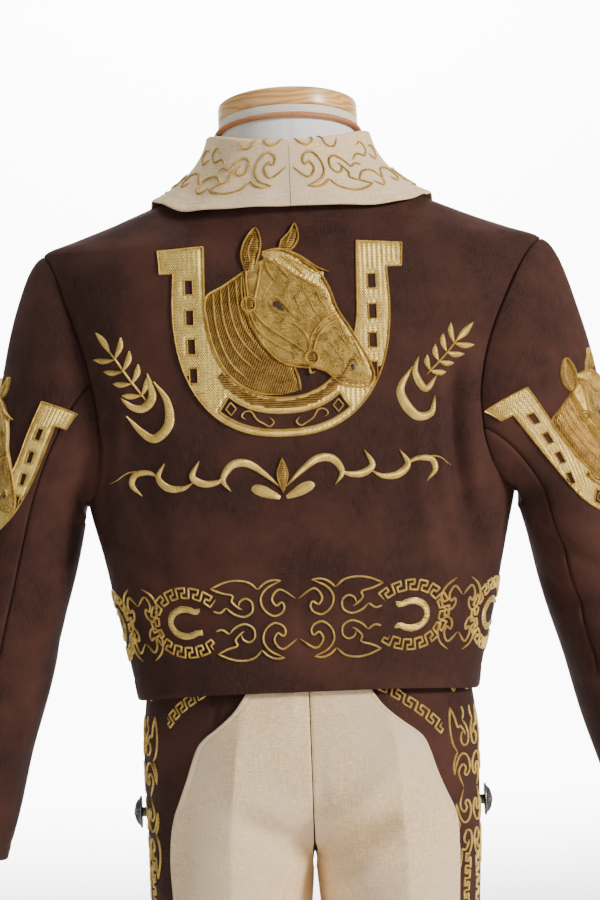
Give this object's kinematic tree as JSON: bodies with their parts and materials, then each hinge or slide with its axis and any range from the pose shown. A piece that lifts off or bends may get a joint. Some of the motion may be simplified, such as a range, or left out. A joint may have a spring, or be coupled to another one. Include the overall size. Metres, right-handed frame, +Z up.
{
  "type": "child's charro suit on a dress form",
  "caption": "Child's brown charro suit, a short jacket with a cream shawl collar and trousers with a cream seat patch, worn by a limbless dress form on a round steel stand.",
  "frame": {"origin": "centre of the underside of the stand's round base, on the surface it stands on", "axes": "+Z up; the wearer's back faces -Y; the wearer's right is +X"},
  "size_m": [0.541, 0.3, 1.0819],
  "materials": {
    "brown_suiting": "matte",
    "cream_linen": "matte",
    "gold_thread": "satin",
    "form_cover": "matte",
    "ivory_band": "satin",
    "tan_cord": "satin",
    "pale_wood": "satin",
    "horn_button": "gloss",
    "dark_silver": "satin",
    "brushed_steel": "satin"
  },
  "bodies": {
    "root": {"jacket_back": "brown_suiting", "jacket_front_left": "brown_suiting", "sleeve_upper_left": "brown_suiting", "sleeve_under_left": "brown_suiting", "trouser_back_left": "brown_suiting", "trouser_front_left": "brown_suiting", "collar_left": "cream_linen", "seat_patch_left": "cream_linen", "side_stud_left_1": "dark_silver", "side_stud_left_2": "dark_silver", "side_stud_left_3": "dark_silver", "side_stud_left_4": "dark_silver", "side_stud_left_5": "dark_silver", "side_stud_left_6": "dark_silver", "jacket_front_right": "brown_suiting", "sleeve_upper_right": "brown_suiting", "sleeve_under_right": "brown_suiting", "trouser_back_right": "brown_suiting", "trouser_front_right": "brown_suiting", "collar_right": "cream_linen", "seat_patch_right": "cream_linen", "side_stud_right_1": "dark_silver", "side_stud_right_2": "dark_silver", "side_stud_right_3": "dark_silver", "side_stud_right_4": "dark_silver", "side_stud_right_5": "dark_silver", "side_stud_right_6": "dark_silver", "waistband": "brown_suiting", "fly_flap": "brown_suiting", "waist_button": "horn_button", "form_body": "form_cover", "form_neck_cap": "pale_wood", "form_neck_band": "ivory_band", "form_neck_cord": "tan_cord", "stand_base": "brushed_steel", "stand_socket": "brushed_steel", "stand_rod": "brushed_steel"}
  },
  "joints": []
}
